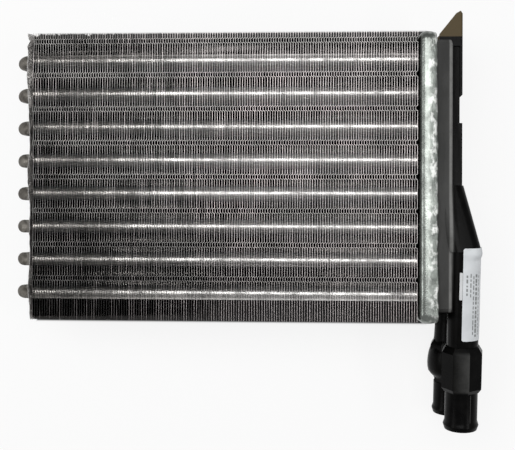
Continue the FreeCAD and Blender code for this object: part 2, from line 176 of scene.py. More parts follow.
class Shader:
    """Adds and links the nodes of one material."""

    def __init__(self, name: str) -> None:
        """Starts an empty material with an output and a principled shader.

        Args:
            name: Name of the material.
        """
        self.material = bpy.data.materials.new(name)
        self.material.use_nodes = True
        self.tree = self.material.node_tree
        self.tree.nodes.clear()
        self.output = self.node("OutputMaterial")
        self.surface = self.node("BsdfPrincipled")
        self.join(self.surface.outputs[0], self.output.inputs[0])

    def node(self, kind: str) -> bpy.types.Node:
        """Adds a node, named without the part that all shader nodes share."""
        return self.tree.nodes.new("ShaderNode" + kind)

    def join(self, source: Socket, target: Socket) -> None:
        """Links an output socket to an input socket."""
        self.tree.links.new(source, target)

    def constant(self, name: str, value: float) -> None:
        """Sets one of the principled shader's own sockets."""
        self.surface.inputs[name].default_value = value

    def place(self) -> Socket:
        """Gives the surface's object coordinates, in metres."""
        return self.node("TexCoord").outputs["Object"]

    def noise(self, source: Socket, grain: Grain) -> Socket:
        """Adds a noise texture.

        Args:
            source: Coordinates.
            grain: The noise.

        Returns:
            The noise value, around one half.
        """
        if grain.stretch:
            mapping = self.node("Mapping")
            mapping.inputs["Scale"].default_value = grain.stretch
            self.join(source, mapping.inputs["Vector"])
            source = mapping.outputs[0]
        node = self.node("TexNoise")
        node.inputs["Scale"].default_value = grain.scale
        node.inputs["Detail"].default_value = grain.detail
        node.inputs["Roughness"].default_value = grain.keep
        self.join(source, node.inputs["Vector"])
        return node.outputs[0]

    def spread(
        self, source: Socket, low: float, high: float, start: float = 0.0, end: float = 1.0
    ) -> Socket:
        """Maps a range of values to another, clamped.

        Args:
            source: The value.
            low: Where the source range starts.
            high: Where it ends.
            start: Result at low.
            end: Result at high.

        Returns:
            The mapped value.
        """
        node = self.node("MapRange")
        for socket, value in zip(node.inputs[1:5], (low, high, start, end)):
            socket.default_value = value
        self.join(source, node.inputs[0])
        return node.outputs[0]

    def combined(self, operation: str, first: Socket, second: Socket | float) -> Socket:
        """Combines two values.

        Args:
            operation: Blender's name of the operation.
            first: First value.
            second: Second value or a number.

        Returns:
            The result.
        """
        node = self.node("Math")
        node.operation = operation
        self.join(first, node.inputs[0])
        if isinstance(second, (int, float)):
            node.inputs[1].default_value = second
        else:
            self.join(second, node.inputs[1])
        return node.outputs[0]

    def within(self, mask: Socket, axis: Socket, ranges: Sequence[Limits]) -> Socket:
        """Narrows a mask along one axis.

        Args:
            mask: The mask so far.
            axis: The coordinate.
            ranges: Where the mask starts or ends, each from clear to full.

        Returns:
            The narrower mask.
        """
        for limits in ranges:
            mask = self.combined("MULTIPLY", mask, self.spread(axis, *limits))
        return mask

    def blended(self, share: Socket, first: Colour | Socket, second: Colour) -> Socket:
        """Blends two colours.

        Args:
            share: 0 for the first colour, 1 for the second.
            first: A colour or a colour socket.
            second: A colour.

        Returns:
            The blended colour.
        """
        node = self.node("Mix")
        node.data_type = "RGBA"
        self.join(share, node.inputs["Factor"])
        if isinstance(first, tuple):
            node.inputs[6].default_value = (*first, 1)
        else:
            self.join(first, node.inputs[6])
        node.inputs[7].default_value = (*second, 1)
        return node.outputs[2]

    def axis(self, source: Socket, name: str) -> Socket:
        """Gives one coordinate of a vector.

        Args:
            source: The vector.
            name: X, Y or Z.

        Returns:
            The coordinate.
        """
        node = self.node("SeparateXYZ")
        self.join(source, node.inputs[0])
        return node.outputs[name]

    def stored(self, name: str) -> Socket:
        """Gives a number that is stored on the mesh.

        Args:
            name: Name of the stored layer.

        Returns:
            The number at each place.
        """
        node = self.node("Attribute")
        node.attribute_name = name
        return node.outputs["Fac"]

    def colour(self, source: Socket) -> None:
        """Uses a colour as the base colour."""
        self.join(source, self.surface.inputs["Base Color"])

    def roughness(self, source: Socket) -> None:
        """Uses a value as the roughness."""
        self.join(source, self.surface.inputs["Roughness"])

    def bump(self, heights: Sequence[tuple[Socket, float]]) -> None:
        """Adds bump, one layer after another.

        Args:
            heights: Each layer's value and its height in metres.
        """
        below = None
        for source, height in heights:
            node = self.node("Bump")
            node.inputs["Distance"].default_value = height
            node.inputs["Strength"].default_value = 1.0
            self.join(source, node.inputs["Height"])
            if below is not None:
                self.join(below, node.inputs["Normal"])
            below = node.outputs[0]
        self.join(below, self.surface.inputs["Normal"])


@dataclass(frozen=True)
class Finish:
    """A finish, with the name of its material and its slot in the record."""

    name: str
    slot: str

    def material(self) -> bpy.types.Material:
        """Makes the material.

        Returns:
            The material.
        """
        shader = Shader(self.name)
        self.paint(shader)
        return shader.material

    def paint(self, shader: Shader) -> None:
        """Adds the nodes of the finish, which each kind of finish has for itself."""
        raise NotImplementedError


@dataclass(frozen=True)
class BareSheetMetal(Finish):
    """Thin aluminium sheet with rolling streaks and cut edges in a tone of their own; a painted
    light lightens the cut edges towards the right, where more light falls.

    With a rubbed colour, the mesh stores each fin's tone and where it is rubbed.
    """

    light: Colour
    dark: Colour
    edge: Colour
    roughness: Limits
    waves: float
    rubbed: Colour | None = None
    # painted light: the cut edges blend towards this lit tone towards the right, where more light
    # falls, and at random fin by fin
    painted_lit_edge: Colour = (0.38, 0.35, 0.347)
    painted_light_ramp: Limits = (-0.085, 0.01)
    edge_roughness: float = 0.24
    streaks: Grain = Grain(90, 4, 0.6, (1, 6, 1))
    blotches: Grain = Grain(45)
    fin_by_fin: Grain = Grain(640, 1, 0.55, (1, 0.05, 0.05))
    ripples: Grain = Grain(500, 2, 0.55, (1, 3, 1))
    dark_from: Limits = (0.7, 1.3)
    turned_away: Limits = (0.5, 0.2)
    fin_change: tuple[float, ...] = (0.35, 0.65, -0.45, 0.5)
    rub_patches: Limits = (0.3, 0.6)

    def paint(self, shader: Shader) -> None:
        """Adds the sheet's nodes.

        Args:
            shader: The material's nodes so far.
        """
        shader.constant("Metallic", 1.0)
        place = shader.place()
        streaks = shader.noise(place, self.streaks)
        blotches = shader.noise(place, self.blotches)
        share = shader.spread(shader.combined("ADD", streaks, blotches), *self.dark_from)
        if self.rubbed:
            share = shader.combined("ADD", share, shader.stored(TONE_LAYER))
        colour = shader.blended(share, self.light, self.dark)
        normal = shader.node("NewGeometry").outputs["True Normal"]
        facing = shader.combined("ABSOLUTE", shader.axis(normal, "X"), 0.0)
        cut = shader.spread(facing, *self.turned_away)
        # painted light on the cut edges: lighter towards the right, where more light falls, plus a
        # random change from fin to fin
        lit = shader.spread(shader.axis(place, "X"), *self.painted_light_ramp)
        fin_by_fin = shader.noise(place, self.fin_by_fin)
        lit = shader.combined("ADD", lit, shader.spread(fin_by_fin, *self.fin_change))
        colour = shader.blended(cut, colour, self.edge)
        colour = shader.blended(shader.combined("MULTIPLY", cut, lit), colour, self.painted_lit_edge)
        if self.rubbed:
            rub = shader.stored(RUB_LAYER)
            rub = shader.combined("MULTIPLY", rub, shader.spread(blotches, *self.rub_patches))
            colour = shader.blended(rub, colour, self.rubbed)
        shader.colour(colour)
        rough = shader.spread(streaks, *NOISE_RANGE, *self.roughness)
        rough_edge = shader.combined("MULTIPLY", cut, self.edge_roughness)
        shader.roughness(shader.combined("ADD", rough, rough_edge))
        shader.bump([(shader.noise(place, self.ripples), self.waves)])


@dataclass(frozen=True)
class DrawnTube(Finish):
    """Drawn aluminium tube: dull and stained on the open bends, brighter inside the core."""

    bright: Colour
    dull: Colour
    stain: Colour
    change_at: float
    change_length: float = 0.003
    grime: Grain = Grain(160, 5, 0.65)
    pits: Grain = Grain(900, 2)
    stained_from: Limits = (0.4, 0.68)
    outside_roughness: Limits = (0.42, 0.62)
    inside_smoother: float = 0.06
    bump_heights: Pair = (0.00012, 0.00004)

    def paint(self, shader: Shader) -> None:
        """Adds the tube's nodes.

        Args:
            shader: The material's nodes so far.
        """
        shader.constant("Metallic", 1.0)
        place = shader.place()
        grime = shader.noise(place, self.grime)
        stained = shader.spread(grime, *self.stained_from)
        dull = shader.blended(stained, self.dull, self.stain)
        along = shader.axis(place, "X")
        start = along_frame(self.change_at)
        inside = shader.spread(along, start, start + self.change_length)
        shader.colour(shader.blended(inside, dull, self.bright))
        rough = shader.spread(grime, *NOISE_RANGE, *self.outside_roughness)
        smoother = shader.combined("MULTIPLY", inside, self.inside_smoother)
        shader.roughness(shader.combined("SUBTRACT", rough, smoother))
        pits = shader.noise(place, self.pits)
        shader.bump(list(zip((grime, pits), self.bump_heights)))


@dataclass(frozen=True)
class PressedHeader(Finish):
    """Pressed header sheet: grey-green and dull, with bright scuffs towards its crimped edge."""

    sheet: Colour
    stain: Colour
    scuff: Colour
    scuffs_between: Limits
    clouds: Grain = Grain(110, 4, 0.6)
    marks: Grain = Grain(150, 5, 0.62, (1.6, 1, 1))
    skin: Grain = Grain(1400)
    stained_from: Limits = (0.35, 0.7)
    scuffed_from: Limits = (0.49, 0.6)
    plain_roughness: Limits = (0.22, 0.3)
    crimp_rougher: float = 0.14
    scuff_rougher: float = 0.12
    bump_heights: Pair = (0.0006, 0.00005)

    def paint(self, shader: Shader) -> None:
        """Adds the header's nodes.

        Args:
            shader: The material's nodes so far.
        """
        shader.constant("Metallic", 1.0)
        place = shader.place()
        cloudy = shader.noise(place, self.clouds)
        marks = shader.noise(place, self.marks)
        along = shader.axis(place, "X")
        near_crimp = shader.spread(along, *(along_frame(edge) for edge in self.scuffs_between))
        scuffed = shader.combined("MULTIPLY", near_crimp, shader.spread(marks, *self.scuffed_from))
        stained = shader.spread(cloudy, *self.stained_from)
        colour = shader.blended(stained, self.sheet, self.stain)
        shader.colour(shader.blended(scuffed, colour, self.scuff))
        rough = shader.spread(cloudy, *NOISE_RANGE, *self.plain_roughness)
        at_crimp = shader.combined("MULTIPLY", near_crimp, self.crimp_rougher)
        rough = shader.combined("ADD", rough, at_crimp)
        at_scuffs = shader.combined("MULTIPLY", scuffed, self.scuff_rougher)
        shader.roughness(shader.combined("ADD", rough, at_scuffs))
        dents = shader.combined("MULTIPLY", near_crimp, marks)
        skin = shader.noise(place, self.skin)
        shader.bump(list(zip((dents, skin), self.bump_heights)))


@dataclass(frozen=True)
class MouldedNylon(Finish):
    """Black glass-filled nylon with a satin skin, faint flow marks and rubbed places, with painted
    light and shade: dust and a painted sheen on the trough's face, which stops below the gusset to
    leave a painted shadow, a painted highlight on a collar facet and along the trough's edge, and a
    painted warm reflection on the gusset.

    The places are given by ranges in metres in the shared frame, each from clear to full.
    """

    black: Colour
    rubbed: Colour
    warm: Colour
    dust_and_sheen: Colour
    warm_reflection: Colour
    edge_highlight: Colour
    trough_x: Limits = (0.1130, 0.1122)
    trough_y: tuple[Limits, ...] = ((-0.0495, -0.0485), (0.0985, 0.0975))
    warm_reflection_y: Limits = (0.1011, 0.1015)
    lit_facet_x: tuple[Limits, ...] = ((0.1125, 0.1212), (0.1218, 0.1216))
    lit_facet_y: tuple[Limits, ...] = ((-0.0935, -0.0925), (-0.0705, -0.0725))
    # painted highlight along the trough's rounded edge
    edge_highlight_x: tuple[Limits, ...] = ((0.1102, 0.1109), (0.1124, 0.1119))
    flow: Grain = Grain(60, 4, 0.6, (1, 0.35, 1))
    rubs: Grain = Grain(140, 5, 0.65)
    skin: Grain = Grain(2600, 2, 0.5)
    specular: float = 0.06
    rubbed_from: Limits = (0.45, 0.7)
    warm_from: tuple[float, ...] = (0.5, 0.75, 0, 0.6)
    trough_patches: tuple[float, ...] = (0.3, 0.6, 0.55, 1.0)
    place_patches: tuple[float, ...] = (0.3, 0.6, 0.6, 1.0)
    satin: Limits = (0.24, 0.36)
    bump_heights: Pair = (0.0002, 0.000015)

    def paint(self, shader: Shader) -> None:
        """Adds the nylon's nodes.

        Args:
            shader: The material's nodes so far.
        """
        shader.constant("Specular IOR Level", self.specular)
        place = shader.place()
        flow = shader.noise(place, self.flow)
        rubs = shader.noise(place, self.rubs)
        rubbed = shader.spread(rubs, *self.rubbed_from)
        colour = shader.blended(rubbed, self.black, self.rubbed)
        colour = shader.blended(shader.spread(flow, *self.warm_from), colour, self.warm)
        x_axis = shader.axis(place, "X")
        y_axis = shader.axis(place, "Y")
        # dust and a painted sheen on the trough's face; its top limit leaves a painted shadow under
        # the gusset
        trough = shader.spread(x_axis, *self.trough_x)
        trough = shader.within(trough, y_axis, self.trough_y)
        patches = shader.spread(flow, *self.trough_patches)
        colour = shader.blended(shader.combined("MULTIPLY", trough, patches), colour, self.dust_and_sheen)
        # painted warm reflection on the gusset's face
        colour = shader.blended(shader.spread(y_axis, *self.warm_reflection_y), colour, self.warm_reflection)
        # painted highlights: the collar's lit front facet, and a line along the trough's rounded
        # edge
        for along_x, along_y, tone in (
            (self.lit_facet_x, self.lit_facet_y, self.dust_and_sheen),
            (self.edge_highlight_x, self.trough_y, self.edge_highlight),
        ):
            mask = shader.spread(rubs, *self.place_patches)
            mask = shader.within(mask, x_axis, along_x)
            mask = shader.within(mask, y_axis, along_y)
            colour = shader.blended(mask, colour, tone)
        shader.colour(colour)
        shader.roughness(shader.spread(rubs, *NOISE_RANGE, *self.satin))
        skin = shader.noise(place, self.skin)
        shader.bump(list(zip((flow, skin), self.bump_heights)))


@dataclass(frozen=True)
class MattRubber(Finish):
    """Matt black rubber with a fine grain."""

    black: Colour
    bloom: Colour
    patches: Grain = Grain(220, 4)
    skin: Grain = Grain(2400, 2)
    bloomed_from: Limits = (0.4, 0.7)
    matt: Limits = (0.7, 0.9)
    bump_height: float = 0.00005

    def paint(self, shader: Shader) -> None:
        """Adds the rubber's nodes.

        Args:
            shader: The material's nodes so far.
        """
        shader.constant("Metallic", 0.0)
        place = shader.place()
        bloom = shader.noise(place, self.patches)
        bloomed = shader.spread(bloom, *self.bloomed_from)
        shader.colour(shader.blended(bloomed, self.black, self.bloom))
        shader.roughness(shader.spread(bloom, *NOISE_RANGE, *self.matt))
        shader.bump([(shader.noise(place, self.skin), self.bump_height)])


@dataclass(frozen=True)
class PlainPaper(Finish):
    """Paper with soft fibres. With bars, the mesh stores where its grey bars lie."""

    paper: Colour
    shade: Colour
    bar: Colour | None = None
    clouds: Grain = Grain(120, 4)
    fibres: Grain = Grain(1800)
    specular: float = 0.35
    shaded_from: Limits = (0.35, 0.7)
    dull: Limits = (0.45, 0.6)
    bump_height: float = 0.00003

    def paint(self, shader: Shader) -> None:
        """Adds the paper's nodes.

        Args:
            shader: The material's nodes so far.
        """
        shader.constant("Specular IOR Level", self.specular)
        place = shader.place()
        clouds = shader.noise(place, self.clouds)
        colour = shader.blended(shader.spread(clouds, *self.shaded_from), self.paper, self.shade)
        if self.bar:
            colour = shader.blended(shader.stored(PRINT_LAYER), colour, self.bar)
        shader.colour(colour)
        shader.roughness(shader.spread(clouds, *NOISE_RANGE, *self.dull))
        shader.bump([(shader.noise(place, self.fibres), self.bump_height)])


@dataclass(frozen=True)
class StudioFloor:
    """Pale floor: white to the camera, with a soft shadow, and a painted dark shade under the core.
    """

    name: str = "pale_floor"
    colour: Colour = (0.86, 0.86, 0.86)
    shade: Colour = (0.03, 0.03, 0.03)
    lift: float = 0.85
    core_x: Limits = (-0.131, 0.106)
    core_y: Limits = (-0.0616, 0.1150)
    feather: float = 0.0012
    roughness: float = 0.9

    def material(self) -> bpy.types.Material:
        """Makes the material.

        Returns:
            The material.
        """
        shader = Shader(self.name)
        shader.constant("Roughness", self.roughness)
        glow = shader.node("Emission")
        glow.inputs["Color"].default_value = (1, 1, 1, 1)
        glow.inputs["Strength"].default_value = 1.0
        path = shader.node("LightPath")
        seen = path.outputs["Is Camera Ray"]
        for name in ("Is Glossy Ray", "Is Transmission Ray"):
            seen = shader.combined("MAXIMUM", seen, path.outputs[name])
        mix = shader.node("MixShader")
        place = shader.place()
        under = None
        for name, low, high in (("X", *self.core_x), ("Y", *self.core_y)):
            where = shader.axis(place, name)
            for edge, full in ((low, low + self.feather), (high, high - self.feather)):
                part = shader.spread(where, edge, full)
                under = part if under is None else shader.combined("MINIMUM", under, part)
        clear = shader.spread(under, 0.0, 1.0, 1.0, 0.0)
        # painted shade under the core and just past its edges, so that the gaps between the fins
        # look dark
        shader.colour(shader.blended(clear, self.shade, self.colour))
        lifted = shader.combined("MULTIPLY", shader.combined("MULTIPLY", seen, self.lift), clear)
        shader.join(lifted, mix.inputs[0])
        shader.join(shader.surface.outputs[0], mix.inputs[1])
        shader.join(glow.outputs[0], mix.inputs[2])
        shader.join(mix.outputs[0], shader.output.inputs[0])
        return shader.material


def make_piece(
    name: str,
    points: np.ndarray,
    faces: Faces,
    material: bpy.types.Material,
    replaced: Sequence[str] = (),
    sharp_angle: float = 35.0,
    fix_normals: bool = True,
) -> bpy.types.Object:
    """Args:
        name: Name of the piece.
        points: Its corners, in drawing millimetres.
        faces: Corner numbers of each face.
        material: The material.
        replaced: CAD nodes that it stands for.
        sharp_angle: Edges sharper than this, in degrees, stay sharp.
        fix_normals: Whether the faces are turned outwards.

    Returns:
        The new object.
    """
    mesh = bpy.data.meshes.new(name)
    mesh.from_pydata(placed(points).tolist(), [], [list(face) for face in faces])
    if fix_normals:
        work = bmesh.new()
        work.from_mesh(mesh)
        bmesh.ops.recalc_face_normals(work, faces=work.faces[:])
        work.to_mesh(mesh)
        work.free()
    return declare(name, mesh, material, replaced, sharp_angle)


def declare(
    name: str,
    mesh: bpy.types.Mesh,
    material: bpy.types.Material,
    replaced: Sequence[str],
    sharp_angle: float,
) -> bpy.types.Object:
    """Puts a mesh in the scene, smooths it and says what it stands for.

    Args:
        name: Name of the piece.
        mesh: Its mesh, in the shared frame.
        material: The material.
        replaced: CAD nodes that it stands for.
        sharp_angle: Edges sharper than this, in degrees, stay sharp.

    Returns:
        The new object.
    """
    mesh.materials.append(material)
    mesh.polygons.foreach_set("use_smooth", [True] * len(mesh.polygons))
    mesh.set_sharp_from_angle(angle=math.radians(sharp_angle))
    piece = bpy.data.objects.new(name, mesh)
    bpy.context.scene.collection.objects.link(piece)
    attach(piece, BODY)
    if replaced:
        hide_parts(*replaced)
    return piece


def store(piece: bpy.types.Object, name: str, values: Sequence[float]) -> None:
    """Stores a number for each point of a piece's mesh."""
    layer = piece.data.attributes.new(name, "FLOAT", "POINT")
    layer.data.foreach_set("value", list(values))


def loop_faces(first: Sequence[int], second: Sequence[int]) -> list[list[int]]:
    """Faces between two closed loops of as many points each.

    Args:
        first: Point numbers of one loop, in order.
        second: Point numbers of the other loop.

    Returns:
        Corner numbers of each face.
    """
    count = len(first)
    faces = []
    for index in range(count):
        after = (index + 1) % count
        faces.append([first[index], first[after], second[after], second[index]])
    return faces


def ring_faces(low: int, high: int, corners: int) -> list[list[int]]:
    """Faces between two rings, given by the numbers of their first points."""
    return loop_faces(range(low, low + corners), range(high, high + corners))


def tube_faces(rings: int, corners: int) -> list[list[int]]:
    """Faces of a closed tube of rings with a cap at each end.

    Args:
        rings: How many rings there are.
        corners: Points in each ring.

    Returns:
        Corner numbers of each face.
    """
    faces = [list(range(corners)), list(range((rings - 1) * corners, rings * corners))]
    for ring in range(rings - 1):
        faces += ring_faces(ring * corners, (ring + 1) * corners, corners)
    return faces


class HoledSheet:
    """Flat outline in height and depth with a round hole for each tube leg, as triangles."""

    def __init__(
        self,
        outline: np.ndarray,
        hole_radius: float,
        hole_sides: int,
        lines: Sequence[float] = (),
        columns: Sequence[float] = (),
    ) -> None:
        """Triangulates the sheet.

        Args:
            outline: Corners of the outline, height and depth, in order.
            hole_radius: Radius of each hole.
            hole_sides: Corners of each hole.
            lines: Heights of extra rows of points.
            columns: Depths of the points in those rows.
        """
        points = [tuple(point) for point in outline]
        loops = [list(range(len(points)))]
        turns = np.arange(hole_sides) * 2 * math.pi / hole_sides
        self.centres = [(height, depth) for height in ROW_HEIGHTS for depth in LEG_DEPTHS]
        for height, depth in self.centres:
            start = len(points)
            points += [
                (height + hole_radius * math.cos(turn), depth + hole_radius * math.sin(turn))
                for turn in turns
            ]
            loops.append(list(range(start, start + hole_sides)))
        points += [(line, column) for line in lines for column in columns]
        edges = [(loop[index - 1], loop[index]) for loop in loops for index in range(len(loop))]
        result = delaunay_2d_cdt([Vector(point) for point in points], edges, [], 0, 1e-6)
        self.points = np.array([tuple(point) for point in result[0]])
        place = {old: new for new, olds in enumerate(result[3]) for old in olds}
        self.loops = [[place[index] for index in loop] for loop in loops]
        self.triangles = [
            list(face) for face in result[2] if not self.in_hole(face, hole_radius)
        ]

    def in_hole(self, face: Sequence[int], radius: float) -> bool:
        """Says whether a triangle lies inside a hole.

        Args:
            face: Its corner numbers.
            radius: Radius of the holes.

        Returns:
            True for a triangle that would close a hole.
        """
        height, depth = self.points[list(face)].mean(axis=0)
        inside = radius * 0.98
        return any(math.hypot(height - row, depth - leg) < inside for row, leg in self.centres)

    def thick_faces(self) -> list[list[int]]:
        """Faces of the sheet made solid: a low layer, a high layer and the rims of all loops.

        Returns:
            Faces over the low layer's points followed by the high layer's.
        """
        count = len(self.points)
        faces = [list(reversed(face)) for face in self.triangles]
        faces += [[index + count for index in face] for face in self.triangles]
        for loop in self.loops:
            faces += loop_faces(loop, [index + count for index in loop])
        return faces


def even_places(low: float, high: float, steps: int) -> list[float]:
    """Even places between two limits, both included."""
    return [low + (high - low) * index / steps for index in range(steps + 1)]


def rectangle_outline(lines: Sequence[float], columns: Sequence[float]) -> np.ndarray:
    """Outline of a rectangle with a point at each line and column.

    Args:
        lines: Heights, rising.
        columns: Depths, rising.

    Returns:
        Corner points in order.
    """
    points = [(line, columns[0]) for line in lines]
    points += [(lines[-1], column) for column in columns[1:]]
    points += [(line, columns[-1]) for line in reversed(lines[:-1])]
    points += [(lines[0], column) for column in reversed(columns[1:-1])]
    return np.array(points)


@dataclass(frozen=True)
class Dent:
    """A push sideways in the front edges of the fins around one place."""

    place: float
    height: float
    reach: float
    spread: float
    push: float

    def at(self, place: float, height: np.ndarray) -> np.ndarray:
        """Gives the push in the fin at a place, for each of its heights."""
        near = math.exp(-(((place - self.place) / self.reach) ** 2))
        return self.push * near * np.exp(-(((height - self.height) / self.spread) ** 2))


@dataclass
class FinPack:
    """The thin flat fins between the end fin and the header plate."""

    metal: BareSheetMetal
    first: float = -210.0
    last: float = -0.7
    modelled_spaces: int = 51
    fins_per_modelled: int = 3
    banks: int = 8
    thickness: float = 0.2
    hole_gap: float = 0.06
    hole_sides: int = 16
    foot_line: float = CORE_FOOT + 5.5
    columns: tuple[float, ...] = (-CORE_FACE, -14.0, 0.0, 14.0, CORE_FACE)
    rib_from: float = 7.2
    rib_to: float = 10.2
    rib_slope: float = 0.4
    rib_height: float = 1.05
    first_rib_share: float = 0.3
    seeds: tuple[int, int, int] = (11, 12, 13)
    swell: float = 0.22
    swell_fins: float = 7
    swell_sizes: Pair = (26, 30)
    ripple: float = 0.1
    ripples_by_fin: float = 0.9
    ripple_sizes: Pair = (9, 16)
    steady_fins: int = 4
    tone_change: float = 0.45
    tone_draws: int = 4096
    # painted light: fins towards the left end are painted lighter, so that they carry the lamp's
    # highlights to the tubes there
    left_lightening: float = 0.7
    left_lightening_span: Limits = (-175.0, -95.0)
    rubbed_ribs: float = 20.0
    rubbed_slopes: float = 13.0
    dent_depths: Limits = (15.0, 21.0)
    dents: tuple[Dent, ...] = (
        Dent(-180.0, 73.0, 1.6, 1.6, 0.5),
        Dent(-210.0, 73.4, 1.6, 2.0, 0.8),
        Dent(-30.0, 66.0, 5.0, 2.5, -0.5),
        Dent(-96.0, -20.0, 6.0, 3.0, 0.5),
        Dent(-150.0, 18.0, 7.0, 2.6, -0.5),
    )

    def __post_init__(self) -> None:
        """Counts the fins and draws the fields that bend them."""
        self.count = self.modelled_spaces * self.fins_per_modelled + 1
        self.swell_field, self.ripple_field = (SmoothNoise(seed) for seed in self.seeds[:2])

    def rib(self, height: np.ndarray) -> np.ndarray:
        """Sideways step of the stiffening ribs, one above each tube row.

        Args:
            height: Heights on the fin.

        Returns:
            Movement along the tubes.
        """
        total = np.zeros(np.shape(height))
        for row in ROW_HEIGHTS:
            up = np.clip((height - row - self.rib_from) / self.rib_slope, 0, 1)
            down = np.clip((height - row - self.rib_to + self.rib_slope) / self.rib_slope, 0, 1)
            total = total + up - down
        return -self.rib_height * total

    def lean_in(self, height: np.ndarray) -> np.ndarray:
        """How far the second face moves in height on the ribs' slopes, for an even thickness.

        Args:
            height: Heights on the fin.

        Returns:
            Movement of each height.
        """
        turn = math.atan2(self.rib_height, self.rib_slope)
        near = self.rib_slope * 0.6
        total = np.zeros(np.shape(height))
        for row in ROW_HEIGHTS:
            above = height - row
            total = total + (abs(above - self.rib_from - self.rib_slope / 2) < near)
            total = total - (abs(above - self.rib_to + self.rib_slope / 2) < near)
        return total * self.thickness * math.tan(turn / 2)

    def sheet(self) -> HoledSheet:
        """Triangulates one fin, with a line of points along each edge of each rib.

        Returns:
            The fin, flat.
        """
        lines = [self.foot_line]
        for row in ROW_HEIGHTS:
            lines += [row + self.rib_from, row + self.rib_from + self.rib_slope]
            lines += [row + self.rib_to - self.rib_slope, row + self.rib_to]
        inner = sorted(lines)
        lines = [CORE_FOOT] + sorted(inner + list(ROW_HEIGHTS)) + [CORE_TOP]
        outline = rectangle_outline(lines, self.columns)
        hole_radius = TUBE_RADIUS / math.cos(math.pi / self.hole_sides) + self.hole_gap
        return HoledSheet(outline, hole_radius, self.hole_sides, inner, self.columns[1:-1])

    def shift(self, fin: int, place: float, height: np.ndarray, depth: np.ndarray) -> np.ndarray:
        """Sideways movement of one fin: its swells, ripples, ribs and dents.

        Args:
            fin: Number of the fin, from the end fin.
            place: Where it stands along the tubes.
            height: Heights of its points.
            depth: Depths of its points.

        Returns:
            Movement along the tubes.
        """
        near_end = min(1.0, (self.count - 1 - fin) / self.steady_fins)
        swell = self.swell_field.over(fin / self.swell_fins, height, depth, self.swell_sizes)
        layer = fin * self.ripples_by_fin
        ripple = self.ripple_field.over(layer, height, depth, self.ripple_sizes)
        total = self.swell * swell + self.ripple * ripple
        total = total * near_end + self.rib(height) * min(1.0, self.first_rib_share + fin / 2)
        at_edge = smooth_step(depth, *self.dent_depths)
        return total + sum(dent.at(place, height) * at_edge for dent in self.dents)

    def build(self) -> Pieces:
        """Builds all the banks.

        Returns:
            Its pieces.
        """
        material = self.metal.material()
        sheet = self.sheet()
        height, depth = sheet.points.T
        leaning = self.lean_in(height)
        faces = sheet.thick_faces()
        draw = np.random.default_rng(self.seeds[2])
        tones = draw.uniform(-self.tone_change, self.tone_change, self.tone_draws)
        rub = np.where(self.rib(height) < -0.01, 1.0, 0.0) * (depth > self.rubbed_ribs)
        rub = np.clip(rub + (leaning != 0) * (depth > self.rubbed_slopes), 0, 1)
        pitch = (self.last - self.first) / (self.count - 1)
        modelled = self.modelled_spaces + 1
        pieces = []
        for bank in range(self.banks):
            start = bank * modelled // self.banks * self.fins_per_modelled
            end = (bank + 1) * modelled // self.banks * self.fins_per_modelled
            fins = range(start, min(self.count, end))
            points = []
            bank_faces = []
            tone = []
            for order, fin in enumerate(fins):
                place = self.first + pitch * fin
                shift = self.shift(fin, place, height, depth)
                points.append(np.column_stack((place + shift, height, depth)))
                far_side = place + self.thickness + shift
                points.append(np.column_stack((far_side, height + leaning, depth)))
                offset = order * 2 * len(height)
                bank_faces += [[index + offset for index in face] for face in faces]
                # painted light: fins towards the left end get a lighter tone
                lightened = self.left_lightening * (1 - smooth_step(place, *self.left_lightening_span))
                tone += [tones[fin] * (1 - lightened) - lightened] * (2 * len(height))
            piece = make_piece(
                f"fins_{bank + 1}", np.vstack(points), bank_faces, material,
                [f"fin_bank_{bank + 1}"], sharp_angle=30, fix_normals=False,
            )
            store(piece, TONE_LAYER, tone)
            store(piece, RUB_LAYER, np.tile(rub, 2 * len(fins)))
            pieces.append(piece)
        return pieces


@dataclass(frozen=True)
class Crumple:
    """One layer of unevenness of the end fin, which fades in with depth."""

    push: float
    layer: float
    sizes: Pair
    fades_in: Limits


